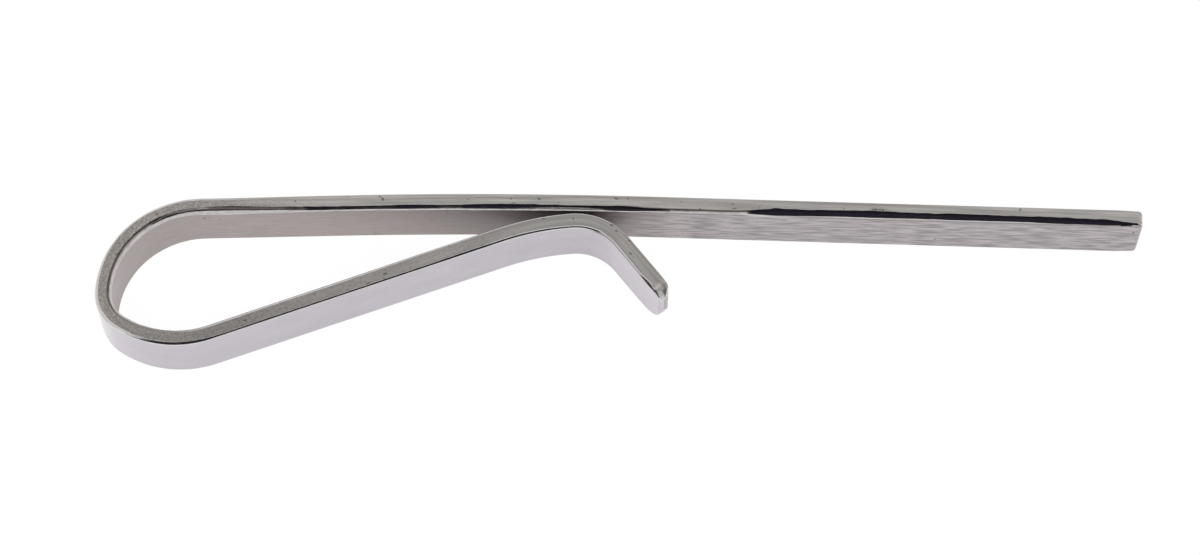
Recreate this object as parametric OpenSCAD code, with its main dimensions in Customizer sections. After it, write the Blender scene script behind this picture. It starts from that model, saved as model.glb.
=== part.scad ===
// Slide-on tie clip, bent from one flat strip of polished steel.
// It stands on the long edge of the strip, so Z is the width of the strip. The front bar runs along X
// and its show face looks towards +Y. The spring loop is at -X and the spring arm comes back under the bar.
// All lengths are millimetres and all angles are degrees.
// The shape is drawn as a walk along the inner face of the strip, from the front bar, round the loop and
// out along the arm. A place on the walk is [x, y, heading].

/* [Strip] */
// Width of the strip, which is the height of the clip as it stands
strip_w = 3.5; // [2.5:0.1:6]
// Thickness of the strip
strip_t = 0.92; // [0.6:0.02:1.2]
// Radius on the long edges of the strip
edge_r = 0.15; // [0.05:0.05:0.25]

/* [Front bar] */
// Length of the whole clip along X
clip_l = 59.1; // [50:0.1:70]
// Slope of the straight part of the bar, down towards its free end
bar_slope = 1.9; // [1:0.1:2.5]
// Radius of the shallow bow in the bar, on the inner face
bow_r = 330; // [250:10:400]
// Angle that the bow turns through
bow_angle = 3.2; // [2.6:0.1:4]
// Straight length of the bar between the bow and the loop
root_l = 7.5; // [5:0.5:10]
// Corner radius of the bar's free end, seen on its show face
bar_corner_r = 0.35; // [0.2:0.05:1]

/* [Spring loop] */
// Inner radius of the wide bend that turns down from the bar
back_bend_r = 4.9; // [4:0.1:6]
// Inner radius of the tight bend that follows it
tight_bend_r = 1.8; // [1.2:0.1:3]
// Angle of the tight bend
tight_bend_angle = 55; // [40:1:65]
// Inner radius of the bend that leads into the arm
front_bend_r = 5.1; // [4:0.1:6]

/* [Spring arm] */
// Slope of the arm, up towards the bar
arm_slope = 20.4; // [18:0.2:24]

/* [Pressure bend] */
// Gap between the crest and the highest line of the bar's inner face
crest_gap = 0.3; // [0.1:0.05:1]
// Outer radius of the easy bend between the arm and the crest
rise_r = 15.2; // [10:0.2:20]
// Angle of the easy bend
rise_angle = 16; // [12:0.5:17]
// Outer radius of the crest that presses on the fabric
crest_r = 3.7; // [2.5:0.1:5]
// Angle of the crest
crest_angle = 57; // [45:1:65]

/* [Entry lip] */
// Length of the turned-out lip, from the crest to its tip
lip_l = 4; // [3:0.1:7]
// Corner radius of the lip's tip, seen on its face
lip_corner_r = 0.7; // [0.5:0.1:1.7]

/* [Hidden] */
$fn = 96;
// The bow is a small slice of a wide circle, so it takes more sides
bow_fn = 3600;

// Each radius of a bend belongs to the inner face of the strip, the face that looks into the loop.
// Directions of the bar, counted from -X and turning towards the arm
bar_turn = -bar_slope;
root_turn = bow_angle - bar_slope;
down_turn = 90;

// The overall length sets the length of the straight part of the bar
bow_run = bow_r * (sin(root_turn) - sin(bar_turn));
loop_run = back_bend_r * (1 - sin(root_turn)) + strip_t;
bar_straight = (clip_l - strip_t * sin(bar_slope) - bow_run - root_l * cos(root_turn) - loop_run)
    / cos(bar_slope);

// Height that the rise and the crest climb, up to the crest's highest line
crest_turn = arm_slope - rise_angle;
climb = rise_r * (cos(crest_turn) - cos(arm_slope)) + crest_r * (1 - cos(crest_turn));

// Places along the strip. A positive radius turns left and a negative one turns right.
function centre(p, r) = [p[0] - r * sin(p[2]), p[1] + r * cos(p[2])];
function after_run(p, l) = [p[0] + l * cos(p[2]), p[1] + l * sin(p[2]), p[2]];
function after_bend(p, r, a) =
    let (c = centre(p, r), h = p[2] + sign(r) * a)
    [c[0] + r * sin(h), c[1] - r * cos(h), h];

bow_start = [0, 0, 180 + bar_turn];
bar_end = after_run(bow_start, -bar_straight);
root_start = after_bend(bow_start, bow_r, bow_angle);
back_start = after_run(root_start, root_l);
tight_start = after_bend(back_start, back_bend_r, down_turn - root_turn);
front_start = after_bend(tight_start, tight_bend_r, tight_bend_angle);
front_angle = 180 + arm_slope - down_turn - tight_bend_angle;
arm_start = after_bend(front_start, front_bend_r, front_angle);

// The arm is as long as it takes for the crest to come up to its gap under the bar
bar_inner_top = centre(bow_start, bow_r)[1] + bow_r;
arm_straight = (bar_inner_top - crest_gap - climb - arm_start[1]) / sin(arm_slope);
rise_start = after_run(arm_start, arm_straight);
crest_start = after_bend(rise_start, -rise_r, rise_angle);
lip_start = after_bend(crest_start, -crest_r, crest_angle);

// The origin is under the middle of the clip's box
box_right = bar_end[0] + strip_t * sin(bar_slope);
box_left = tight_start[0] - strip_t;
box_back = bar_inner_top + strip_t;
box_front = centre(front_start, front_bend_r)[1] - front_bend_r - strip_t;
origin = [(box_right + box_left) / 2, (box_back + box_front) / 2, 0];

// Cross-section of the strip, with x from 0 to the thickness and y from 0 to the width
module section() {
    translate([0, edge_r])
        square([strip_t, strip_w - 2 * edge_r]);
    translate([edge_r, 0])
        square([strip_t - 2 * edge_r, strip_w]);
    for (x = [edge_r, strip_t - edge_r], y = [edge_r, strip_w - edge_r])
        translate([x, y])
            circle(r = edge_r);
}

// Moves its child, drawn along +X from the inner face, to a place on the walk
module at(p) {
    translate([p[0] - origin[0], p[1] - origin[1], 0])
        rotate([0, 0, p[2]])
            children();
}

// A straight run of the strip. The inner face is at y = 0 and the metal is on the right, at -y.
module run(l) {
    translate([0, -strip_t, 0])
        rotate([90, 0, 90])
            linear_extrude(height = l)
                section();
}

// A bend that starts at p and turns left round the loop's inside
module bend_left(p, r, a) {
    c = centre(p, r);
    at([c[0], c[1], p[2] - 90])
        rotate_extrude(angle = a)
            translate([r, 0])
                section();
}

// A bend that starts at p and turns right, with the inner face on its outside
module bend_right(p, r, a) {
    c = centre(p, -r);
    at([c[0], c[1], p[2] + 90 - a])
        rotate_extrude(angle = a)
            translate([r - strip_t, 0])
                section();
}

// A straight run whose far end has rounded corners, as seen on its face
module run_to_corners(l, r) {
    intersection() {
        run(l);
        rotate([90, 0, 0])
            linear_extrude(height = strip_t) {
                square([l - r, strip_w]);
                translate([0, r])
                    square([l, strip_w - 2 * r]);
                for (y = [r, strip_w - r])
                    translate([l - r, y])
                        circle(r = r);
            }
    }
}

// A slab that ends in a full round across the strip's thickness, at length l
module nose_slab(l) {
    nose_r = strip_t / 2;
    translate([0, -nose_r, 0])
        linear_extrude(height = strip_w) {
            translate([0, -nose_r])
                square([l - nose_r, strip_t]);
            translate([l - nose_r, 0])
                circle(r = nose_r);
        }
}

// Straight part of the bar, out to its free end
module front_bar() {
    color("silver")
        at([bow_start[0], bow_start[1], -bar_slope])
            mirror([0, 1, 0])
                run_to_corners(bar_straight, bar_corner_r);
}

// Shallow bow that lets the bar follow the chest
module bar_bow() {
    color("silver")
        bend_left(bow_start, bow_r, bow_angle, $fn = bow_fn);
}

// Straight part of the bar next to the loop
module bar_root() {
    color("silver")
        at(root_start)
            run(root_l);
}

// Wide bend of the loop
module loop_back_bend() {
    color("silver")
        bend_left(back_start, back_bend_r, down_turn - root_turn);
}

// Tight bend at the bottom of the loop
module loop_tight_bend() {
    color("silver")
        bend_left(tight_start, tight_bend_r, tight_bend_angle);
}

// Bend that leads out of the loop into the arm
module loop_front_bend() {
    color("silver")
        bend_left(front_start, front_bend_r, front_angle);
}

// Straight arm that carries the crest back up to the bar
module spring_arm() {
    color("silver")
        at(arm_start)
            run(arm_straight);
}

// Easy bend between the arm and the crest
module arm_rise_bend() {
    color("silver")
        bend_right(rise_start, rise_r, rise_angle);
}

// Crest that presses the fabric against the bar
module pressure_crest() {
    color("silver")
        bend_right(crest_start, crest_r, crest_angle);
}

// Lip that guides the fabric in under the crest
module entry_lip() {
    color("silver")
        at(lip_start)
            intersection() {
                run_to_corners(lip_l, lip_corner_r);
                nose_slab(lip_l);
            }
}

front_bar();
bar_bow();
bar_root();
loop_back_bend();
loop_tight_bend();
loop_front_bend();
spring_arm();
arm_rise_bend();
pressure_crest();
entry_lip();
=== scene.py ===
"""Slide-on tie clip of polished steel strip, standing on its long edge in a small white studio.

The clip is one strip, drawn out along a walk as on a bending jig: a section is set up, pulled along the
straight runs and spun round the bends. It is made as three pieces that meet face to face, because the arm
moves and the loop between the arm and the bar bends.
A place on the walk is (x, y, heading) on the strip's inner face, in metres and radians.
"""

import math

import bmesh
import bpy
from bpy.props import FloatProperty, FloatVectorProperty, PointerProperty
from mathutils import Matrix, Vector, noise
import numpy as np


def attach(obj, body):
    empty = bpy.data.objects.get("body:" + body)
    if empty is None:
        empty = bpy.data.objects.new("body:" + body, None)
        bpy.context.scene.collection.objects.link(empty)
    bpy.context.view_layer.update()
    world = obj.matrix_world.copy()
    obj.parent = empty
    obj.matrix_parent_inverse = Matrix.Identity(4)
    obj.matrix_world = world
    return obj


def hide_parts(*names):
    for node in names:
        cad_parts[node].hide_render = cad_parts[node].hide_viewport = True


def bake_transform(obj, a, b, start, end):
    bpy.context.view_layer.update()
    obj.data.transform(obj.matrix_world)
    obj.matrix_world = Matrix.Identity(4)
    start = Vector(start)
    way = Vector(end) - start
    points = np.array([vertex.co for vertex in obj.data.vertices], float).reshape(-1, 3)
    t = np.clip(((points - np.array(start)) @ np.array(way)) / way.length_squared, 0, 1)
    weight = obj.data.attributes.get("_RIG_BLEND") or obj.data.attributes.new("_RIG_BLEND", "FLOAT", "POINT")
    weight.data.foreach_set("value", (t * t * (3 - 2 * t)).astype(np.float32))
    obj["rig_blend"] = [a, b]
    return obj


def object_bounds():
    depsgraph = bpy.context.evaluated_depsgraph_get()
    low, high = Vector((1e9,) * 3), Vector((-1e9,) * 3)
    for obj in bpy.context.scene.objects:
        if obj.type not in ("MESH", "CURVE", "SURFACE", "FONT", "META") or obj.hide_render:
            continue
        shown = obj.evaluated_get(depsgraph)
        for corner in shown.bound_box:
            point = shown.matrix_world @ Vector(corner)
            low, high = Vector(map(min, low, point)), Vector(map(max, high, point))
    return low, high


bl_info = {
    "name": "Tie clip",
    "version": (1, 0, 0),
    "blender": (4, 5, 0),
    "location": "View3D > Sidebar > Tie clip",
    "description": "Builds a slide-on tie clip of steel strip around its packed frame",
    "category": "Add Mesh",
}

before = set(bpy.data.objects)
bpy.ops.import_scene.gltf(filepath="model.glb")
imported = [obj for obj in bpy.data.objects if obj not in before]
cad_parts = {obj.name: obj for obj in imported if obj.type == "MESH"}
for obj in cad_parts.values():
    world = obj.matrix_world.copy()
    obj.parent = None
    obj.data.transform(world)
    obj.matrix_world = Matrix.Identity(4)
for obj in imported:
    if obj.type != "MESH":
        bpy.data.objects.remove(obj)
FRAME_LOW, FRAME_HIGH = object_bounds()
MM = 0.001
UP = Vector((0, 0, 1))
WHITE = (1, 1, 1)

# A corner of the section is marked by the sides that it lies on. The lower inner corner is 0.
TOP = 1
OUTER = 2
FINISHES = ("satin_edge", "brushed_inside", "polished_outside", "dark_corner", "bright_corner")

# The section's corners are rounded in segments, each of them this share of the round
CORNER_SEGMENTS = 8
SEGMENT = 1 / CORNER_SEGMENTS

# The loop's piece takes this much of the straight run on either side of it
LEAD = 0.05 * MM

# The parts of the walk, in order from the bar's free end
STRAIGHT, BOW, ROOT, BACK_BEND, TIGHT_BEND, FRONT_BEND, ARM, RISE, CREST, LIP = range(10)

# The tables of wear give a size in millimetres at a share of a part's length.
# Worn radius of the upper outer edge
OUTER_WEAR = (
    (STRAIGHT, 0, 0.06), (BOW, 0.7, 0.09), (ROOT, 0, 0.13), (ROOT, 0.7, 0.18), (BACK_BEND, 0, 0.18),
    (BACK_BEND, 0.6, 0.12), (TIGHT_BEND, 0, 0.19), (FRONT_BEND, 0.7, 0.18), (ARM, 0.05, 0.11),
    (ARM, 0.7, 0.11), (ARM, 0.9, 0.15), (CREST, 0.5, 0.15), (CREST, 0.8, 0.10), (LIP, 0.5, 0.10),
    (LIP, 0.78, 0.19), (LIP, 1, 0.19),
)
# Worn radius of the upper inner edge, which is polished wide along most of the bar and in the loop
INNER_WEAR = (
    (STRAIGHT, 0.01, 0.19), (STRAIGHT, 0.09, 0.32), (STRAIGHT, 0.22, 0.38), (STRAIGHT, 0.5, 0.39),
    (STRAIGHT, 0.74, 0.43), (STRAIGHT, 0.84, 0.185), (BOW, 0, 0.205), (BOW, 0.12, 0.27),
    (BOW, 0.45, 0.31), (BOW, 0.7, 0.25), (ROOT, 0.1, 0.25), (ROOT, 0.5, 0.30), (ROOT, 0.85, 0.36),
    (BACK_BEND, 0.15, 0.31), (BACK_BEND, 0.6, 0.28), (FRONT_BEND, 0.5, 0.15), (ARM, 0, 0.18),
    (ARM, 0.4, 0.16), (ARM, 0.8, 0.12), (CREST, 0.5, 0.08), (LIP, 0.2, 0.05), (LIP, 1, 0.05),
)
# Width of the ledge at the foot of the inner bevel
INNER_LEDGE = (
    (STRAIGHT, 0.03, 0.05), (STRAIGHT, 0.15, 0.08), (STRAIGHT, 0.25, 0.13), (STRAIGHT, 0.6, 0.14),
    (STRAIGHT, 0.75, 0.08), (BOW, 0, 0.05), (BOW, 0.45, 0.08), (ROOT, 0.1, 0.07), (ROOT, 0.5, 0.16),
    (ROOT, 0.85, 0.22), (BACK_BEND, 0.15, 0.18), (BACK_BEND, 0.6, 0.16), (TIGHT_BEND, 0.5, 0.1),
    (FRONT_BEND, 0.3, 0.06),
)
# Width of the bright strip between the upper outer edge and its round
OUTER_SHINE = (
    (STRAIGHT, 0, 0.03), (BACK_BEND, 0, 0.03), (FRONT_BEND, 0, 0.035), (ARM, 0, 0.015), (ARM, 0.8, 0.015),
    (RISE, 0.6, 0.05), (LIP, 0.5, 0.05), (LIP, 0.9, 0.03),
)
# Width of the bright strip between the upper inner edge and its bevel, and radius of the unworn lower
# edges, in millimetres
INNER_SHINE = 0.045
CRISP_EDGE = 0.05
# The wear is uneven in waves, each with a length in millimetres and a height as a share of the radius
WAVES = ((0.5, 0.07), (3.5, 0.15))
# The wear comes in after the bar's rounded end and goes out before the lip's rounded tip
FADE_IN = 1 * MM
FADE_OUT = 0.4 * MM

# How far the parts of a worn corner reach down, as shares of its radius
STRIP_DROP = 0.03
BEVEL_DROP = 0.8
LEDGE_DROP = 0.82


def length(name, description, millimetres):
    """A length property whose default is given in millimetres."""
    return FloatProperty(name=name, description=description, default=millimetres * MM,
                         min=0, unit="LENGTH", precision=5)


def turn(name, description, degrees):
    """An angle property whose default is given in degrees."""
    return FloatProperty(name=name, description=description, default=math.radians(degrees),
                         subtype="ANGLE")


def colour(name, description, red, green, blue):
    """A colour property, linear."""
    return FloatVectorProperty(name=name, description=description, default=(red, green, blue),
                               size=3, min=0, max=1, subtype="COLOR")


class ClipSizes(bpy.types.PropertyGroup):
    """Sizes of the strip and of the walk it is bent along."""

    strip_width: length("Strip width", "Width of the strip, its height as the clip stands", 3.5)
    strip_thickness: length("Strip thickness", "Thickness of the strip", 0.92)
    bar_slope: turn("Bar slope", "Slope of the straight part of the bar", 1.9)
    bow_radius: length("Bow radius", "Radius of the shallow bow in the bar", 330)
    bow_angle: turn("Bow angle", "Angle that the bow turns through", 3.2)
    root_length: length("Root length", "Straight length between the bow and the loop", 7.5)
    back_bend_radius: length("Back bend radius", "Inner radius of the loop's wide bend", 4.9)
    tight_bend_radius: length("Tight bend radius", "Inner radius of the loop's tight bend", 1.8)
    tight_bend_angle: turn("Tight bend angle", "Angle of the loop's tight bend", 55)
    front_bend_radius: length("Front bend radius", "Inner radius of the bend into the arm", 5.1)
    arm_slope: turn("Arm slope", "Slope of the arm, up towards the bar", 20.4)
    crest_gap: length("Crest gap", "Gap between the crest and the bar", 0.3)
    rise_radius: length("Rise radius", "Outer radius of the bend between the arm and the crest", 15.2)
    rise_angle: turn("Rise angle", "Angle of the bend between the arm and the crest", 16)
    crest_radius: length("Crest radius", "Outer radius of the crest", 3.7)
    crest_angle: turn("Crest angle", "Angle of the crest", 57)
    lip_length: length("Lip length", "Length of the turned-out lip", 4.15)
    inner_corner: length("Inner corner", "Radius on the long edges of the inner face", 0.15)
    outer_corner: length("Outer corner", "Radius on the long edges of the outer face", 0.11)
    bar_end_corner: length("Bar end corner", "Corner radius of the bar's free end", 0.35)
    bar_end_nose: length("Bar end nose", "Radius on the edges of the bar's end face", 0.13)
    lip_high_corner: length("Lip upper corner", "Upper corner radius of the lip's tip", 0.6)
    lip_low_corner: length("Lip lower corner", "Lower corner radius of the lip's tip", 1.55)
    lip_inner_nose: length("Lip inner nose", "Radius on the inner edge of the lip's end face", 0.62)
    lip_outer_nose: length("Lip outer nose", "Radius on the outer edge of the lip's end face", 0.16)
    ring_spacing: length("Ring spacing", "Length of one step along a straight run", 0.15)


class ClipFinish(bpy.types.PropertyGroup):
    """Colours of the steel."""

    sanded: colour("Sanded", "Sanded long edges round the loop", 0.345, 0.322, 0.303)
    edge: colour("Edge", "Satin long edges of the strip", 0.365, 0.350, 0.338)
    brushed: colour("Brushed", "Brushed inner face", 0.358, 0.328, 0.337)
    warm: colour("Warm", "Brushed inner face near the loop, warmed by tarnish", 0.362, 0.318, 0.313)
    polished: colour("Polished", "Polished outer face", 0.473, 0.441, 0.480)
    corner: colour("Corner", "Polished round between two faces", 0.58, 0.56, 0.56)
    dull_corner: colour("Dull corner", "Round along the inner face, in bar and loop", 0.38, 0.36, 0.365)
    # Also the colour of painted shade: a painted shadow at the foot of the inner round, and painted dark
    # reflections on the outer round from the crest to the tip and on the lip's tip.
    grime_and_shade: colour("Grime", "Dark polishing residue along the inner corner", 0.05, 0.035, 0.03)


class ClipStudio(bpy.types.PropertyGroup):
    """The studio round the clip."""

    floor: colour("Floor", "Pale floor", 0.92, 0.92, 0.92)
    flag_glow: colour("Flag glow", "Faint glow of the dark flag", 0.03, 0.027, 0.038)
    flag_radius: length("Flag distance", "Distance of the dark flag from the clip", 450)
    flag_back: turn("Flag back edge", "How far behind overhead the dark flag starts", 10)
    flag_top: length("Flag top width", "Width of the dark flag overhead", 260)
    flag_foot: length("Flag foot width", "Width of the dark flag at the floor", 1000)
    lamp_power: FloatProperty(name="Lamp power", description="Power of the soft lamp", default=4.5,
                              min=0, unit="POWER")


def heading_vector(angle):
    """The direction of travel at a heading."""
    return Vector((math.cos(angle), math.sin(angle), 0))


def outward(angle):
    """The direction from the inner face to the outer face at a heading."""
    return Vector((math.sin(angle), -math.cos(angle), 0))


def bend_centre(place, radius):
    """The centre of a bend that starts at a place. A positive radius turns left."""
    x, y, heading = place
    return Vector((x, y, 0)) - radius * outward(heading)


def after_run(place, distance):
    """The place at the end of a straight run."""
    x, y, heading = place
    end = Vector((x, y, 0)) + distance * heading_vector(heading)
    return end.x, end.y, heading


def after_bend(place, radius, angle):
    """The place at the end of a bend."""
    heading = place[2] + math.copysign(angle, radius)
    end = bend_centre(place, radius) + radius * outward(heading)
    return end.x, end.y, heading


def before_bend(place, radius, angle):
    """The place where a left bend started that ends at a place."""
    heading = place[2] - angle
    start = bend_centre(place, radius) + radius * outward(heading)
    return start.x, start.y, heading


class Walk:
    """The named places along the strip's inner face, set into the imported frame's box."""

    def __init__(self, sizes):
        quarter = math.pi / 2
        root_turn = sizes.bow_angle - sizes.bar_slope
        inner_top = FRAME_HIGH.y - sizes.strip_thickness

        # The crown of the bow lies on the inner face's highest line, and the loop's left side on the box
        crown = (0, inner_top, math.pi)
        root = after_bend(crown, sizes.bow_radius, root_turn)
        back = after_run(root, sizes.root_length)
        tight = after_bend(back, sizes.back_bend_radius, quarter - root_turn)
        crown = (FRAME_LOW.x + sizes.strip_thickness - tight[0], inner_top, math.pi)

        self.root_start = after_bend(crown, sizes.bow_radius, root_turn)
        self.bow_start = before_bend(crown, sizes.bow_radius, sizes.bar_slope)
        self.back_start = after_run(self.root_start, sizes.root_length)
        self.back_angle = quarter - root_turn
        self.tight_start = after_bend(self.back_start, sizes.back_bend_radius, self.back_angle)
        self.front_start = after_bend(self.tight_start, sizes.tight_bend_radius, sizes.tight_bend_angle)
        self.front_angle = quarter + sizes.arm_slope - sizes.tight_bend_angle
        self.arm_start = after_bend(self.front_start, sizes.front_bend_radius, self.front_angle)

        # The free end reaches the box's right side with the corner of its outer face
        reach = FRAME_HIGH.x - sizes.strip_thickness * math.sin(sizes.bar_slope) - self.bow_start[0]
        self.bar_straight = reach / math.cos(sizes.bar_slope)
        self.bar_end = after_run(self.bow_start, -self.bar_straight)

        # The arm is as long as it takes for the crest to come up to its gap under the bar
        crest_turn = sizes.arm_slope - sizes.rise_angle
        climb = (sizes.rise_radius * (math.cos(crest_turn) - math.cos(sizes.arm_slope))
                 + sizes.crest_radius * (1 - math.cos(crest_turn)))
        rise = inner_top - sizes.crest_gap - climb - self.arm_start[1]
        self.arm_straight = rise / math.sin(sizes.arm_slope)
        self.rise_start = after_run(self.arm_start, self.arm_straight)
        self.crest_start = after_bend(self.rise_start, -sizes.rise_radius, sizes.rise_angle)
        self.lip_start = after_bend(self.crest_start, -sizes.crest_radius, sizes.crest_angle)


class Route:
    """The whole walk as a list of straight runs and bends, to find the place at any distance along it."""

    def __init__(self, sizes):
        walk = Walk(sizes)
        self.sizes = sizes
        self.walk = walk
        self.parts = []
        self.total = 0
        parts = (
            (walk.bar_end, walk.bar_straight, 0),
            (walk.bow_start, sizes.bow_radius * sizes.bow_angle, sizes.bow_radius),
            (walk.root_start, sizes.root_length, 0),
            (walk.back_start, sizes.back_bend_radius * walk.back_angle, sizes.back_bend_radius),
            (walk.tight_start, sizes.tight_bend_radius * sizes.tight_bend_angle, sizes.tight_bend_radius),
            (walk.front_start, sizes.front_bend_radius * walk.front_angle, sizes.front_bend_radius),
            (walk.arm_start, walk.arm_straight, 0),
            (walk.rise_start, sizes.rise_radius * sizes.rise_angle, -sizes.rise_radius),
            (walk.crest_start, sizes.crest_radius * sizes.crest_angle, -sizes.crest_radius),
            (walk.lip_start, sizes.lip_length, 0),
        )
        for place, distance, radius in parts:
            self.parts.append((self.total, place, radius))
            self.total += distance

    def at(self, part, share=0):
        """Distance along the strip at a share of a part's length."""
        ends = [start for start, _, _ in self.parts] + [self.total]
        return ends[part] + share * (ends[part + 1] - ends[part])

    def reading(self, table, along):
        """Reads a table of (part, share, value) at a distance. The value eases from row to row."""
        rows = [(self.at(part, share), value) for part, share, value in table]
        for (start, before), (end, after) in zip(rows, rows[1:]):
            if along <= end:
                return before + (after - before) * smooth(along, start, end)
        return rows[-1][1]

    def place(self, along):
        """The place at a distance along the strip."""
        tolerance = 1e-9
        start, place, radius = next(part for part in reversed(self.parts) if part[0] <= along + tolerance)
        if radius:
            return after_bend(place, radius, (along - start) / abs(radius))
        return after_run(place, along - start)


class Strip:
    """A strip being drawn out in edit mode, from its first section to its last.

    Every ring of points carries its distance along the strip, because the finish and the wear of the
    corners follow the strip round its bends.
    """

    bend_step = math.radians(2)
    corner_profile = 0.5

    def __init__(self, name, start, route):
        self.sizes = route.sizes
        self.place = route.place(start)
        self.along = start
        self.stand_section(name)

    def stand_section(self, name):
        """Stands a plane across the walk, with the strip's size and rounded corners."""
        sizes = self.sizes
        bpy.ops.object.select_all(action="DESELECT")
        bpy.ops.mesh.primitive_plane_add(size=1, location=self.centre(),
                                         rotation=(math.pi / 2, 0, math.pi / 2 + self.place[2]))
        self.piece = bpy.context.object
        self.piece.name = name
        self.piece.data.name = name
        self.piece.scale = (sizes.strip_thickness, sizes.strip_width, 1)
        bpy.ops.object.transform_apply(location=True, rotation=True, scale=True)
        bpy.ops.object.mode_set(mode="EDIT")
        bmesh.from_edit_mesh(self.piece.data).verts.layers.float.new("along")
        bmesh.from_edit_mesh(self.piece.data).verts.layers.int.new("corner")
        for side, radius in ((-1, sizes.inner_corner), (1, sizes.outer_corner)):
            bpy.ops.mesh.select_all(action="DESELECT")
            points = bmesh.from_edit_mesh(self.piece.data)
            nearly_on_face = sizes.strip_thickness / 2 - radius / 100
            for point in points.verts:
                point.select = side * self.across_middle(point) > nearly_on_face
            points.select_flush_mode()
            bpy.ops.mesh.bevel(offset=radius, segments=CORNER_SEGMENTS, affect="VERTICES",
                               profile=self.corner_profile)
        points = bmesh.from_edit_mesh(self.piece.data)
        corner = points.verts.layers.int["corner"]
        for point in points.verts:
            outer = self.across_middle(point) > 0
            top = point.co.z > sizes.strip_width / 2
            point[corner] = OUTER * outer + TOP * top
        bpy.ops.mesh.select_all(action="SELECT")
        self.mark()

    def across_middle(self, point):
        """How far a point lies from the section's middle, towards the outer face."""
        return (point.co - self.centre()).dot(outward(self.place[2]))

    def centre(self):
        """The middle of the section at the strip's present place."""
        x, y, heading = self.place
        middle = Vector((x, y, 0)) + outward(heading) * self.sizes.strip_thickness / 2
        middle.z = self.sizes.strip_width / 2
        return middle

    def mark(self):
        """Writes the distance along the strip on the newest ring."""
        points = bmesh.from_edit_mesh(self.piece.data)
        layer = points.verts.layers.float["along"]
        for point in points.verts:
            if point.select:
                point[layer] = self.along

    def pull(self, distance):
        """Draws the strip straight on by one step."""
        step = heading_vector(self.place[2]) * distance
        bpy.ops.mesh.extrude_region_move(TRANSFORM_OT_translate={"value": step})
        self.place = after_run(self.place, distance)
        self.along += distance
        self.mark()

    def run(self, distance):
        """Draws a straight run in even steps."""
        steps = math.ceil(distance / self.sizes.ring_spacing)
        for _ in range(steps):
            self.pull(distance / steps)

    def bend(self, radius, angle):
        """Spins a bend. A positive radius turns left, with the inner face on the inside."""
        steps = math.ceil(max(angle / self.bend_step, angle * abs(radius) / self.sizes.ring_spacing))
        centre = bend_centre(self.place, radius)
        axis = -UP if radius > 0 else UP
        for _ in range(steps):
            bpy.ops.mesh.spin(steps=1, angle=angle / steps, center=centre, axis=axis)
            self.place = after_bend(self.place, radius, angle / steps)
            self.along += abs(radius) * angle / steps
            self.mark()

    def reshape(self, old, new):
        """Moves the newest ring from its old bounds to new ones: inner, outer, lowest and highest."""
        x, y, heading = self.place
        across = outward(heading)
        middle = Vector((x, y, 0)) + across * (old[0] + old[1]) / 2 + UP * (old[2] + old[3]) / 2
        size = (1, (new[1] - new[0]) / (old[1] - old[0]), (new[3] - new[2]) / (old[3] - old[2]))
        bpy.ops.transform.resize(value=size, orient_type="GLOBAL", center_override=middle,
                                 orient_matrix=Matrix((heading_vector(heading), across, UP)),
                                 orient_matrix_type="GLOBAL")
        change = [after - before for before, after in zip(old, new)]
        shift = across * (change[0] + change[1]) / 2 + UP * (change[2] + change[3]) / 2
        bpy.ops.transform.translate(value=shift)

    def end_bounds(self, low_corner, high_corner, inner_nose, outer_nose, distance):
        """The inner, outer, lowest and highest bound of the section at a distance from a rounded end."""
        def cut(radius):
            inside = max(0, radius - distance)
            return radius - math.sqrt(radius * radius - inside * inside)

        thickness, width = self.sizes.strip_thickness, self.sizes.strip_width
        return cut(inner_nose), thickness - cut(outer_nose), cut(low_corner), width - cut(high_corner)

    def rounded_end(self, low_corner, high_corner, inner_nose, outer_nose, closing):
        """Draws an end with rounded corners and edges. It opens the strip, or closes it."""
        steps = 20
        reach = max(low_corner, high_corner)
        distances = [reach * (1 - math.cos(math.pi / 2 * i / steps)) for i in range(steps + 1)]
        if closing:
            distances.reverse()
        shapes = [self.end_bounds(low_corner, high_corner, inner_nose, outer_nose, distance)
                  for distance in distances]
        if not closing:
            self.reshape((0, self.sizes.strip_thickness, 0, self.sizes.strip_width), shapes[0])
        for i in range(steps):
            self.pull(abs(distances[i + 1] - distances[i]))
            self.reshape(shapes[i], shapes[i + 1])

    def finish(self):
        """Leaves edit mode with the faces pointing outwards."""
        bpy.ops.mesh.select_all(action="SELECT")
        bpy.ops.mesh.normals_make_consistent(inside=False)
        bpy.ops.mesh.select_all(action="DESELECT")
        bpy.ops.object.mode_set(mode="OBJECT")
        return self.piece


def smooth(value, start, end):
    """Rises smoothly from 0 at start to 1 at end."""
    share = min(1, max(0, (value - start) / (end - start)))
    return share * share * (3 - 2 * share)


def ripple(along, wavelength, track):
    """A steady random wave along the strip, from about -1 to 1, different on each track."""
    track_spacing = 7.3
    return noise.noise(Vector((along / wavelength, track_spacing * track, 0)))


def worn_radius(route, along, corner):
    """Radius of a long edge at a distance along the strip, slightly uneven from the polishing wheel."""
    if not corner & TOP:
        return CRISP_EDGE * MM
    table = OUTER_WEAR if corner & OUTER else INNER_WEAR
    uneven = 1 + sum(height * ripple(along, wavelength * MM, corner) for wavelength, height in WAVES)
    return route.reading(table, along) * MM * uneven


def worn_range(route, corner):
    """Where a long edge is worn: between the rounding of the bar's end and that of the lip's tip."""
    sizes = route.sizes
    tip = max(sizes.lip_high_corner, sizes.lip_inner_nose if corner & TOP else sizes.lip_low_corner)
    return sizes.bar_end_corner, route.total - tip


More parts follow.
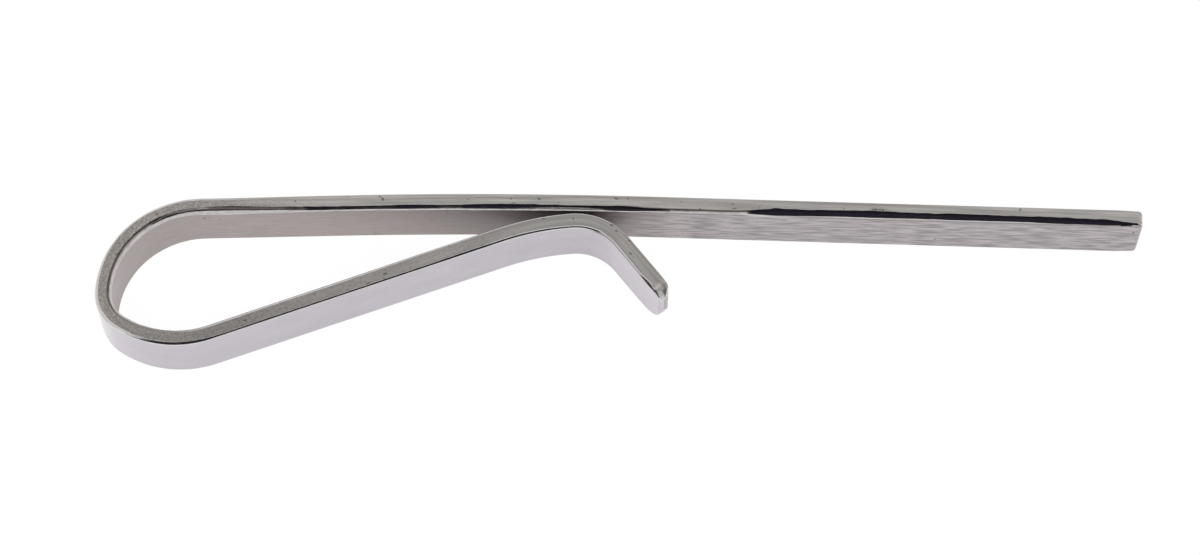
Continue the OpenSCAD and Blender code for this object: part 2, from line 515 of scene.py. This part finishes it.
def bevelled(turned, strip, ledge):
    """Depth and drop of a point of a worn inner corner: a strip, a bevel and a ledge at its foot.

    The point is turned by a share of the round, from the upper side to the face. All else is in worn radii.
    """
    bevel_end = 1 - 2 * SEGMENT
    if turned < SEGMENT / 2:
        return 1, 0
    if turned < bevel_end + SEGMENT / 2:
        share = (turned - SEGMENT) / (bevel_end - SEGMENT)
        return 1 - strip - share * (1 - strip - ledge), STRIP_DROP + share * (BEVEL_DROP - STRIP_DROP)
    return 0, LEDGE_DROP if turned < 1 - SEGMENT / 2 else 1


def rounded_off(turned, strip):
    """Depth and drop of a point of a worn outer corner: a strip and a smaller round."""
    if turned < SEGMENT / 2:
        return 1, 0
    angle = math.pi / 2 * (turned - SEGMENT) / (1 - SEGMENT)
    return (1 - strip) * (1 - math.sin(angle)), 1 - (1 - STRIP_DROP) * math.cos(angle)


def strip_frame(piece, route):
    """For each point of a piece: its distance along, its place across and the walk's place beside it."""
    layer = piece.data.attributes["along"].data
    for point, mark in zip(piece.data.vertices, layer):
        x, y, heading = route.place(mark.value)
        across = (point.co - Vector((x, y, 0))).dot(outward(heading))
        yield point, mark.value, across, (x, y, heading)


def wear_corners(piece, route):
    """Moves the long edges of a piece from their drawn radius to their worn one.

    A point of a corner has a depth, counted in from its face, and a drop, counted from the strip's upper
    or lower side towards the middle. Both are in radii of the corner.
    """
    sizes = route.sizes
    corners = [mark.value for mark in piece.data.attributes["corner"].data]
    for point, along, across, (x, y, heading) in strip_frame(piece, route):
        corner = corners[point.index]
        first, last = worn_range(route, corner)
        if not first <= along <= last:
            continue
        face, inward, drawn = 0, 1, sizes.inner_corner
        if corner & OUTER:
            face, inward, drawn = sizes.strip_thickness, -1, sizes.outer_corner
        side, towards = (sizes.strip_width, -1) if corner & TOP else (0, 1)
        fade = smooth(along, first, first + FADE_IN) * (1 - smooth(along, last - FADE_OUT, last))
        worn = drawn + fade * (worn_radius(route, along, corner) - drawn)
        depth, drop = (across - face) * inward / drawn, (point.co.z - side) * towards / drawn
        if corner & TOP:
            turned = math.atan2(1 - depth, 1 - drop) / (math.pi / 2)
            if corner & OUTER:
                shape = rounded_off(turned, route.reading(OUTER_SHINE, along) * MM / worn)
                strength = fade
            else:
                ledge = route.reading(INNER_LEDGE, along) * MM / worn
                shape = bevelled(turned, INNER_SHINE * MM / worn, ledge)
                strength = fade * (1 - smooth(along, route.at(FRONT_BEND, 0.2), route.at(FRONT_BEND, 0.8)))
            depth += strength * (shape[0] - depth)
            drop += strength * (shape[1] - drop)
        point.co = Vector((x, y, 0)) + outward(heading) * (face + depth * inward * worn)
        point.co.z = side + drop * towards * worn


def unbent_coordinates(piece, route):
    """Stores where each point lay in the flat strip, before it was bent, for the materials to follow."""
    flat = piece.data.attributes.new("flat_strip", "FLOAT_VECTOR", "POINT")
    places = [(along, across, point.co.z) for point, along, across, _ in strip_frame(piece, route)]
    for target, place in zip(flat.data, places):
        target.vector = place
    piece.data.attributes.remove(piece.data.attributes["along"])


def paint_sides(piece):
    """Gives each face the finish of its side of the strip, told by the corners that it joins."""
    for finish in FINISHES:
        piece.data.materials.append(bpy.data.materials[finish])
    corners = [mark.value for mark in piece.data.attributes["corner"].data]
    for face in piece.data.polygons:
        joined = {corners[i] for i in face.vertices}
        if len(joined) > 2:
            finish = "polished_outside"
        elif joined == {0, TOP}:
            finish = "brushed_inside"
        elif joined == {OUTER, OUTER + TOP}:
            finish = "polished_outside"
        elif len(joined) == 2:
            finish = "satin_edge"
        else:
            finish = "bright_corner" if OUTER & min(joined) else "dark_corner"
        face.material_index = FINISHES.index(finish)
    piece.data.attributes.remove(piece.data.attributes["corner"])


def smooth_rounds(piece):
    """Smooths the rounds only: a face's corner takes the mean of the faces there that turn little from it."""
    mesh = piece.data
    bpy.ops.object.shade_smooth()
    least_alike = math.cos(math.radians(33))
    caps = {face.index for face in mesh.polygons if len(face.vertices) > 4}
    around = [[] for _ in mesh.vertices]
    for face in mesh.polygons:
        if face.index not in caps:
            for i in face.vertices:
                around[i].append((face.normal.copy(), face.area))
    directions = [None] * len(mesh.loops)
    for face in mesh.polygons:
        for loop in face.loop_indices:
            direction = Vector()
            for normal, area in around[mesh.loops[loop].vertex_index]:
                if normal.dot(face.normal) > least_alike:
                    direction += normal * area
            directions[loop] = face.normal if face.index in caps else direction.normalized()
    mesh.normals_split_custom_set(directions)


def dress(piece, route):
    """Wears, maps, paints and smooths a finished strip."""
    wear_corners(piece, route)
    unbent_coordinates(piece, route)
    paint_sides(piece)
    smooth_rounds(piece)
    return piece


class Nodes:
    """The node tree of a material or of the world."""

    def __init__(self, owner):
        owner.use_nodes = True
        self.nodes = owner.node_tree.nodes
        self.links = owner.node_tree.links

    def join(self, operation, first, second):
        """Joins two values by an operation."""
        node = self.nodes.new("ShaderNodeMath")
        node.operation = operation
        for socket, value in zip(node.inputs, (first, second)):
            if isinstance(value, (int, float)):
                socket.default_value = value
            else:
                self.links.new(value, socket)
        return node.outputs["Value"]

    def times(self, first, *others):
        """The product of several values."""
        for other in others:
            first = self.join("MULTIPLY", first, other)
        return first


class Finish(Nodes):
    """A steel finish, as a material whose nodes follow the flat strip."""

    def __init__(self, name, roughness, route):
        super().__init__(bpy.data.materials.new(name))
        self.top = route.sizes.strip_width
        self.shader = self.nodes["Principled BSDF"]
        self.shader.inputs["Metallic"].default_value = 1
        self.shader.inputs["Roughness"].default_value = roughness
        self.flat = self.nodes.new("ShaderNodeAttribute")
        self.flat.attribute_name = "flat_strip"
        self.parts = self.nodes.new("ShaderNodeSeparateXYZ")
        self.links.new(self.flat.outputs["Vector"], self.parts.inputs[0])

    def grain(self, along, across, detail=2.0, roughness=0.5):
        """A noise whose grains have a length along the strip and a width across it, in millimetres."""
        mapping = self.nodes.new("ShaderNodeMapping")
        mapping.inputs["Scale"].default_value = (1 / (along * MM), 1 / (across * MM), 1 / (across * MM))
        self.links.new(self.flat.outputs["Vector"], mapping.inputs["Vector"])
        texture = self.nodes.new("ShaderNodeTexNoise")
        texture.inputs["Scale"].default_value = 1
        texture.inputs["Detail"].default_value = detail
        texture.inputs["Roughness"].default_value = roughness
        self.links.new(mapping.outputs["Vector"], texture.inputs["Vector"])
        return texture.outputs["Fac"]

    def spread(self, value, low, high, to_low=0, to_high=1):
        """Maps a value from one range to another, and holds it there."""
        node = self.nodes.new("ShaderNodeMapRange")
        node.inputs["From Min"].default_value = low
        node.inputs["From Max"].default_value = high
        node.inputs["To Min"].default_value = to_low
        node.inputs["To Max"].default_value = to_high
        self.links.new(value, node.inputs["Value"])
        return node.outputs["Result"]

    def along(self, start, end, to_start=0, to_end=1):
        """Maps the distance along the strip, in metres, from one range to another."""
        return self.spread(self.parts.outputs["X"], start, end, to_start, to_end)

    def across(self, start, end, to_start=0, to_end=1):
        """Maps the depth from the inner face, in millimetres, from one range to another."""
        return self.spread(self.parts.outputs["Y"], start * MM, end * MM, to_start, to_end)

    def drop(self, start, end, to_start=0, to_end=1):
        """Maps the drop from the strip's upper side, in millimetres, from one range to another."""
        return self.spread(self.parts.outputs["Z"], self.top - start * MM, self.top - end * MM,
                           to_start, to_end)

    def swell(self, measure, start, full, fading, end, height=1):
        """Rises to a height between start and full, and falls again between fading and end.

        The measure is one of the three maps above.
        """
        return self.join("MINIMUM", measure(start, full, 0, height), measure(fading, end, height, 0))

    def mix(self, share, first, second):
        """Mixes two colours, each a plain colour or an output."""
        node = self.nodes.new("ShaderNodeMix")
        node.data_type = "RGBA"
        self.links.new(share, node.inputs["Factor"])
        for socket, value in ((node.inputs[6], first), (node.inputs[7], second)):
            if isinstance(value, bpy.types.NodeSocket):
                self.links.new(value, socket)
            else:
                socket.default_value = (*value, 1)
        return node.outputs[2]

    def colour(self, base, *coats):
        """Colours the steel with a base and with coats over it, each a mask and a colour."""
        for mask, coat in coats:
            base = self.mix(mask, base, coat)
        self.links.new(base, self.shader.inputs["Base Color"])

    def roughness(self, value):
        """Sets the roughness of the steel."""
        self.links.new(value, self.shader.inputs["Roughness"])

    def bump(self, height, depth):
        """Raises the surface by a height from 0 to 1, with a depth in micrometres."""
        node = self.nodes.new("ShaderNodeBump")
        node.inputs["Strength"].default_value = 1
        node.inputs["Distance"].default_value = depth * MM / 1000
        self.links.new(height, node.inputs["Height"])
        self.links.new(node.outputs["Normal"], self.shader.inputs["Normal"])


def shade(base, factor):
    """A colour made lighter or darker."""
    return tuple(min(1, channel * factor) for channel in base)


def satin_edge(finish, route):
    """Long edges: finely lined along the bar, coarsely sanded and darker round the loop and up the arm."""
    at = route.at
    steel = Finish("satin_edge", 0.3, route)
    speckle = steel.grain(0.13, 0.11, detail=1)
    lines = steel.grain(5, 0.15, detail=1)
    patches = steel.grain(2.5, 0.5)
    pits = steel.grain(0.26, 0.2, detail=0)

    # The bar has fine lines and is lighter along its middle, and the upper arm is darker
    fine = steel.mix(steel.spread(lines, 0.3, 0.7), shade(finish.edge, 0.7), shade(finish.edge, 1.25))
    fine = steel.mix(steel.swell(steel.across, 0.15, 0.5, 0.5, 0.9, 0.3), fine, shade(finish.edge, 1.4))
    fine = steel.mix(steel.along(at(ARM), at(ARM, 0.5), 0, 0.4), fine, shade(finish.edge, 0.6))

    # The loop is sanded, darkest where it leads into the arm
    sanded = steel.mix(steel.spread(speckle, 0.35, 0.65), shade(finish.sanded, 0.66),
                       shade(finish.sanded, 1.12))
    dark = steel.swell(steel.along, at(TIGHT_BEND), at(ARM), at(ARM, 0.1), at(CREST), 0.4)
    sanded = steel.mix(dark, sanded, shade(finish.sanded, 0.35))
    coarse = steel.swell(steel.along, at(ROOT), at(BACK_BEND), at(ARM, 0.1), at(CREST))

    # Dark ragged spots lie along the inner side of the loop, and residue in one scuff on the bar
    in_loop = steel.swell(steel.along, at(ROOT, 0.7), at(BACK_BEND, 0.2), at(TIGHT_BEND), at(FRONT_BEND, 0.6))
    ragged = steel.times(in_loop, steel.spread(speckle, 0.45, 0.6, 0, 0.8), steel.across(0.17, 0.3, 1, 0))
    scuffed = steel.swell(steel.along, 14.2 * MM, 14.7 * MM, 15.2 * MM, 15.6 * MM)
    scuff = steel.times(scuffed, steel.spread(speckle, 0.4, 0.6, 0.1, 0.8), steel.across(0.5, 0.65, 1, 0))

    # A painted highlight on the lip's tip towards its outer face, and a painted dark reflection on it towards
    # its inner one
    tip_highlight = steel.join("MINIMUM", steel.along(at(LIP, 0.8), at(LIP, 0.85), 0, 0.6),
                            steel.across(0.3, 0.5))
    tip_dark_reflection = steel.join("MINIMUM", steel.along(at(LIP, 0.9), at(LIP, 0.94), 0, 0.75),
                           steel.across(0.45, 0.6, 1, 0))
    steel.colour(
        steel.mix(coarse, fine, sanded),
        (steel.spread(patches, 0.4, 0.7, 0, 0.3), shade(finish.edge, 0.75)),
        (ragged, finish.grime_and_shade),
        (scuff, finish.grime_and_shade),
        (tip_highlight, shade(finish.edge, 1.7)),
        (tip_dark_reflection, finish.grime_and_shade),
        (steel.spread(pits, 0.79, 0.82, 0, 0.8), shade(finish.edge, 0.25)),
    )
    steel.roughness(steel.spread(patches, 0.3, 0.7, 0.26, 0.36))
    steel.bump(speckle, 0.5)


def brushed_inside(finish, route):
    """Inner face: lengthwise brushing, strong towards the free end, and a line of painted shade under the
    worn corner.
    """
    at = route.at
    steel = Finish("brushed_inside", 0.36, route)
    lines = steel.grain(1.6, 0.15, detail=1)
    dots = steel.grain(0.3, 0.2, detail=0)
    strength = steel.along(at(BOW), at(BOW, 0.2), 1, 0.3)
    furrow = steel.times(strength, steel.spread(lines, 0.38, 0.5, 0.6, 0))
    ridge = steel.times(strength, steel.spread(lines, 0.5, 0.62, 0, 0.5))
    # A line of painted shade just under the worn corner
    painted_shade_line = steel.swell(steel.drop, 0.31, 0.25, 0.21, 0.15, 0.6)
    steel.colour(
        steel.mix(steel.along(at(STRAIGHT, 0.85), at(BOW, 0.4)), finish.brushed, finish.warm),
        (furrow, shade(finish.brushed, 0.5)),
        (ridge, shade(finish.brushed, 1.6)),
        (painted_shade_line, shade(finish.brushed, 0.35)),
        (steel.spread(dots, 0.79, 0.84, 0, 0.8), shade(finish.brushed, 0.25)),
    )
    steel.roughness(steel.spread(lines, 0.3, 0.7, 0.30, 0.42))
    steel.bump(lines, 1.2)


def polished_outside(finish, route):
    """Outer face: bright, with a faint cloud, hairline scratches and grit."""
    steel = Finish("polished_outside", 0.14, route)
    cloud = steel.grain(3, 1.2)
    hairs = steel.grain(3.5, 0.03, detail=0)
    grit = steel.grain(0.14, 0.12, detail=0)
    clouded = steel.mix(steel.spread(cloud, 0.35, 0.65), shade(finish.polished, 0.96),
                        shade(finish.polished, 1.03))
    steel.colour(
        clouded,
        (steel.spread(hairs, 0.68, 0.8, 0, 0.16), shade(finish.polished, 0.75)),
        (steel.spread(grit, 0.8, 0.83, 0, 0.45), shade(finish.polished, 0.5)),
    )
    steel.roughness(steel.spread(cloud, 0.3, 0.7, 0.11, 0.18))
    steel.bump(hairs, 0.25)


def bright_corner(finish, route):
    """Round along the outer face: satin on the bar, polished on the arm, with a painted dark reflection from
    the crest to the tip.
    """
    at = route.at
    steel = Finish("bright_corner", 0.12, route)
    marks = steel.grain(0.5, 0.07)
    polished = steel.mix(steel.spread(marks, 0.3, 0.7), shade(finish.corner, 0.85), shade(finish.corner, 1.1))

    # A painted dark reflection, brown over the crest and black beside the tip, below the bright strip
    brown = steel.along(at(CREST, 0.35), at(CREST, 0.5), 0, 0.6)
    black = steel.along(at(LIP, 0.55), at(LIP, 0.6), 0, 0.4)
    outer_round_dark_reflection = steel.times(steel.join("ADD", brown, black), steel.along(at(LIP, 0.88), at(LIP, 0.94), 1, 0),
                        steel.drop(0.015, 0.005, 1, 0))
    steel.colour(
        steel.mix(steel.along(at(ROOT, 0.5), at(BACK_BEND, 0.3)), finish.edge, polished),
        (outer_round_dark_reflection, finish.grime_and_shade),
    )
    steel.roughness(steel.spread(marks, 0.3, 0.7, 0.09, 0.2))
    steel.bump(marks, 1.0)


def dark_corner(finish, route):
    """Round along the inner face: polished at the free end, rougher from there on, darkened in the loop, with
    a painted shadow at its foot along the bar.
    """
    at = route.at
    steel = Finish("dark_corner", 0.12, route)
    marks = steel.grain(0.5, 0.07)
    residue = steel.grain(0.35, 0.12)
    rough = steel.swell(steel.along, at(STRAIGHT, 0.8), at(STRAIGHT, 0.85), at(FRONT_BEND, 0.6), at(ARM))

    # The metal is bright on the arm, and at the foot of the round where that is worn wide
    arm = steel.swell(steel.along, at(FRONT_BEND, 0.6), at(ARM), at(CREST, 0.6), at(LIP))
    foot = steel.drop(0.13, 0.11, 1, 0)
    metal = steel.mix(steel.join("MAXIMUM", arm, foot), finish.dull_corner, finish.corner)

    # The round is darkened along its upper part in the loop, and in a thin line where it is pinched before
    # the bow; a painted shadow darkens its foot next to the inner face along most of the bar's straight run
    loop = steel.swell(steel.along, at(BACK_BEND), at(BACK_BEND, 0.3), at(TIGHT_BEND), at(FRONT_BEND, 0.8))
    pinched = steel.swell(steel.along, at(STRAIGHT, 0.79), at(STRAIGHT, 0.82), at(BOW), at(BOW, 0.15))
    shadow = steel.along(at(STRAIGHT, 0.7), at(STRAIGHT, 0.78), 0.5, 0)
    residue_and_shade = (
        steel.spread(marks, 0.35, 0.65, 0, 0.15),
        steel.times(rough, steel.spread(residue, 0.45, 0.65, 0, 0.2)),
        steel.times(loop, steel.drop(0.14, 0.11), steel.spread(residue, 0.4, 0.65, 0.97, 0.7)),
        steel.times(pinched, steel.drop(0.09, 0.07, 0, 0.85)),
        # The painted shadow at the foot of the round, next to the inner face
        steel.times(shadow, foot, steel.across(0.05, 0.09, 1, 0)),
    )
    steel.colour(metal, *((mask, finish.grime_and_shade) for mask in residue_and_shade))
    spotted = steel.times(rough, steel.spread(marks, 0.4, 0.7, 0, 0.12))
    steel.roughness(steel.join("ADD", spotted, 0.09))
    steel.bump(marks, 1.0)


class CLIP_OT_finishes(bpy.types.Operator):
    """Make the steel finishes of the strip"""

    bl_idname = "tie_clip.finishes"
    bl_label = "Steel finishes"

    def execute(self, context):
        route = Route(context.scene.clip_sizes)
        for make in (satin_edge, brushed_inside, polished_outside, dark_corner, bright_corner):
            make(context.scene.clip_finish, route)
        return {"FINISHED"}


class CLIP_OT_front_bar(bpy.types.Operator):
    """Draw the front bar, from its free end over the shallow bow to the loop"""

    bl_idname = "tie_clip.front_bar"
    bl_label = "Front bar"

    def execute(self, context):
        sizes = context.scene.clip_sizes
        route = Route(sizes)
        strip = Strip("bar_strip", 0, route)
        strip.rounded_end(sizes.bar_end_corner, sizes.bar_end_corner, sizes.bar_end_nose, sizes.bar_end_nose,
                          closing=False)
        strip.run(route.walk.bar_straight - sizes.bar_end_corner)
        strip.bend(sizes.bow_radius, sizes.bow_angle)
        strip.run(sizes.root_length - LEAD)
        piece = dress(strip.finish(), route)
        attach(piece, "bar")
        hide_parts("front_bar", "bar_bow", "bar_root")
        return {"FINISHED"}


class CLIP_OT_spring_loop(bpy.types.Operator):
    """Draw the spring loop, which bends between the bar and the arm"""

    bl_idname = "tie_clip.spring_loop"
    bl_label = "Spring loop"

    def execute(self, context):
        sizes = context.scene.clip_sizes
        route = Route(sizes)
        walk = route.walk
        strip = Strip("loop_strip", route.at(BACK_BEND) - LEAD, route)
        strip.pull(LEAD)
        strip.bend(sizes.back_bend_radius, walk.back_angle)
        strip.bend(sizes.tight_bend_radius, sizes.tight_bend_angle)
        strip.bend(sizes.front_bend_radius, walk.front_angle)
        strip.pull(LEAD)
        piece = dress(strip.finish(), route)

        # The bending lies between the loop's two ends, which hold still against the bar and the arm
        still_above = walk.back_start[1] - 0.02 * MM
        turned_below = walk.arm_start[1] + 0.05 * MM
        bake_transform(piece, "bar", "arm", start=(0, still_above, 0), end=(0, turned_below, 0))
        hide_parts("loop_back_bend", "loop_tight_bend", "loop_front_bend")
        return {"FINISHED"}


class CLIP_OT_spring_arm(bpy.types.Operator):
    """Draw the spring arm, with its rise, its crest and the turned-out lip"""

    bl_idname = "tie_clip.spring_arm"
    bl_label = "Spring arm"

    def execute(self, context):
        sizes = context.scene.clip_sizes
        route = Route(sizes)
        strip = Strip("arm_strip", route.at(ARM) + LEAD, route)
        strip.run(route.walk.arm_straight - LEAD)
        strip.bend(-sizes.rise_radius, sizes.rise_angle)
        strip.bend(-sizes.crest_radius, sizes.crest_angle)
        strip.run(sizes.lip_length - max(sizes.lip_low_corner, sizes.lip_high_corner))
        strip.rounded_end(sizes.lip_low_corner, sizes.lip_high_corner, sizes.lip_inner_nose,
                          sizes.lip_outer_nose, closing=True)
        piece = dress(strip.finish(), route)
        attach(piece, "arm")
        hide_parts("spring_arm", "arm_rise_bend", "pressure_crest", "entry_lip")
        return {"FINISHED"}


class StageNodes(Nodes):
    """The nodes of a thing in the studio, which may look different to different kinds of ray."""

    def __init__(self, owner, output):
        super().__init__(owner)
        self.nodes.clear()
        self.surface = self.nodes.new(output).inputs["Surface"]

    def ray(self, kind):
        """1 for one kind of ray, such as Camera or Glossy, and 0 for the others."""
        return self.nodes.new("ShaderNodeLightPath").outputs[f"Is {kind} Ray"]

    def shader(self, kind, tint, strength=None):
        """A shader of a kind, with its colour and, for one that glows, its strength."""
        node = self.nodes.new(kind)
        node.inputs["Color"].default_value = (*tint, 1)
        if strength is not None:
            node.inputs["Strength"].default_value = strength
        return node.outputs[0]

    def choose(self, share, first, second):
        """Mixes two shaders. At a share of 1 only the second one shows."""
        node = self.nodes.new("ShaderNodeMixShader")
        for socket, value in zip(node.inputs, (share, first, second)):
            self.links.new(value, socket)
        return node.outputs[0]

    def show(self, shader):
        """Sends a shader to the output."""
        self.links.new(shader, self.surface)


class CLIP_OT_studio(bpy.types.Operator):
    """Set up the pale floor, the dark flag, the soft lamp, the white surround and the camera"""

    bl_idname = "tie_clip.studio"
    bl_label = "Studio"

    def execute(self, context):
        studio = context.scene.clip_studio
        self.lay_floor(studio)
        self.hang_flag(studio)
        self.hang_lamp(studio)
        self.light_surround(context.scene)
        self.set_camera(context.scene)
        context.scene.view_settings.view_transform = "Standard"
        return {"FINISHED"}

    def lay_floor(self, studio):
        """The floor is shown white, but reflections in the strip see about half of it as it is lit."""
        floor_size = 4
        white_to_camera = 0.97
        white_in_reflections = 0.5
        bpy.ops.object.select_all(action="DESELECT")
        bpy.ops.mesh.primitive_plane_add(size=floor_size, location=(0, 0, 0))
        floor = bpy.context.object
        floor.name = "floor"
        paper = bpy.data.materials.new("white_paper")
        tree = StageNodes(paper, "ShaderNodeOutputMaterial")
        lit = tree.shader("ShaderNodeBsdfDiffuse", studio.floor)
        white = tree.shader("ShaderNodeEmission", WHITE, 1)
        share = tree.join("ADD", tree.times(tree.ray("Camera"), white_to_camera),
                          tree.times(tree.ray("Glossy"), white_in_reflections))
        tree.show(tree.choose(share, lit, white))
        floor.data.materials.append(paper)

    def hang_flag(self, studio):
        """A dark cloth that arches over the camera side and shows only in reflections."""
        radius = studio.flag_radius
        bpy.ops.object.select_all(action="DESELECT")
        bpy.ops.mesh.primitive_plane_add(size=studio.flag_top, location=(0, 0, radius),
                                         rotation=(math.pi / 2, 0, 0))
        flag = bpy.context.object
        flag.name = "dark_flag"
        bpy.ops.object.transform_apply(location=True, rotation=True, scale=True)
        bpy.ops.object.mode_set(mode="EDIT")
        bpy.ops.mesh.select_all(action="DESELECT")

        # Only the plane's upper edge stays. It is laid at the cloth's back edge and spun down to the floor.
        points = bmesh.from_edit_mesh(flag.data)
        for point in points.verts:
            point.select = point.co.z < radius
        points.select_flush_mode()
        bpy.ops.mesh.delete(type="VERT")
        points = bmesh.from_edit_mesh(flag.data)
        for point in points.verts:
            point.co.y = radius * math.sin(studio.flag_back)
            point.co.z = radius * math.cos(studio.flag_back)
            point.select = True
        points.select_flush_mode()
        steps = 32
        widen = (studio.flag_foot / studio.flag_top) ** (1 / steps)
        for _ in range(steps):
            bpy.ops.mesh.spin(steps=1, angle=(math.pi / 2 + studio.flag_back) / steps, center=(0, 0, 0),
                              axis=(-1, 0, 0))
            bpy.ops.transform.resize(value=(widen, 1, 1), center_override=(0, 0, 0))
        bpy.ops.object.mode_set(mode="OBJECT")
        cloth = bpy.data.materials.new("dark_cloth")
        tree = StageNodes(cloth, "ShaderNodeOutputMaterial")
        tree.show(tree.shader("ShaderNodeEmission", studio.flag_glow, 1))
        flag.data.materials.append(cloth)
        flag.visible_camera = False
        flag.visible_diffuse = False
        flag.visible_shadow = False

    def hang_lamp(self, studio):
        """A soft lamp in front and above, which reflections don't see."""
        lamp_size = 0.5
        lamp_place = (0.1, -0.35, 0.6)
        bpy.ops.object.light_add(type="AREA", location=lamp_place)
        lamp = bpy.context.object
        lamp.name = "soft_lamp"
        lamp.data.size = lamp_size
        lamp.data.energy = studio.lamp_power
        lamp.rotation_euler = Vector(lamp_place).to_track_quat("Z", "Y").to_euler()
        lamp.visible_glossy = False

    def light_surround(self, scene):
        """The surround is white to the camera and in reflections, and lights things a little less."""
        fill_strength = 0.8
        world = bpy.data.worlds.new("white_surround")
        scene.world = world
        tree = StageNodes(world, "ShaderNodeOutputWorld")
        fill = tree.shader("ShaderNodeBackground", WHITE, fill_strength)
        white = tree.shader("ShaderNodeBackground", WHITE, 1)
        seen = tree.join("MAXIMUM", tree.ray("Camera"), tree.ray("Glossy"))
        tree.show(tree.choose(seen, fill, white))

    def set_camera(self, scene):
        """The camera looks down at the clip from in front, through a long lens."""
        target = Vector((-1.21 * MM, 1.064 * MM, 0))
        elevation = math.radians(65)
        distance = 203.4 * MM
        lens = bpy.data.cameras.new("camera")
        lens.sensor_width = 36
        lens.lens = 106.6
        lens.clip_start = 1 * MM
        camera = bpy.data.objects.new("camera", lens)
        scene.collection.objects.link(camera)
        back = Vector((0, -math.cos(elevation), math.sin(elevation)))
        camera.location = target + distance * back
        camera.rotation_euler = (math.pi / 2 - elevation, 0, 0)
        scene.camera = camera


class CLIP_PT_panel(bpy.types.Panel):
    """The clip's sizes, finishes and building steps"""

    bl_label = "Tie clip"
    bl_idname = "CLIP_PT_panel"
    bl_space_type = "VIEW_3D"
    bl_region_type = "UI"
    bl_category = "Tie clip"

    def draw(self, context):
        scene = context.scene
        for step in STEPS:
            self.layout.operator(step.bl_idname)
        for group in (scene.clip_sizes, scene.clip_finish, scene.clip_studio):
            box = self.layout.box()
            for name in group.bl_rna.properties.keys():
                if name not in ("rna_type", "name"):
                    box.prop(group, name)


STEPS = (CLIP_OT_finishes, CLIP_OT_front_bar, CLIP_OT_spring_loop, CLIP_OT_spring_arm, CLIP_OT_studio)
CLASSES = (ClipSizes, ClipFinish, ClipStudio, *STEPS, CLIP_PT_panel)


def register():
    for cls in CLASSES:
        bpy.utils.register_class(cls)
    bpy.types.Scene.clip_sizes = PointerProperty(type=ClipSizes)
    bpy.types.Scene.clip_finish = PointerProperty(type=ClipFinish)
    bpy.types.Scene.clip_studio = PointerProperty(type=ClipStudio)


def unregister():
    del bpy.types.Scene.clip_studio
    del bpy.types.Scene.clip_finish
    del bpy.types.Scene.clip_sizes
    for cls in reversed(CLASSES):
        bpy.utils.unregister_class(cls)


def main():
    register()
    bpy.ops.tie_clip.finishes()
    bpy.ops.tie_clip.front_bar()
    bpy.ops.tie_clip.spring_loop()
    bpy.ops.tie_clip.spring_arm()
    bpy.ops.tie_clip.studio()


if __name__ == "__main__":
    main()
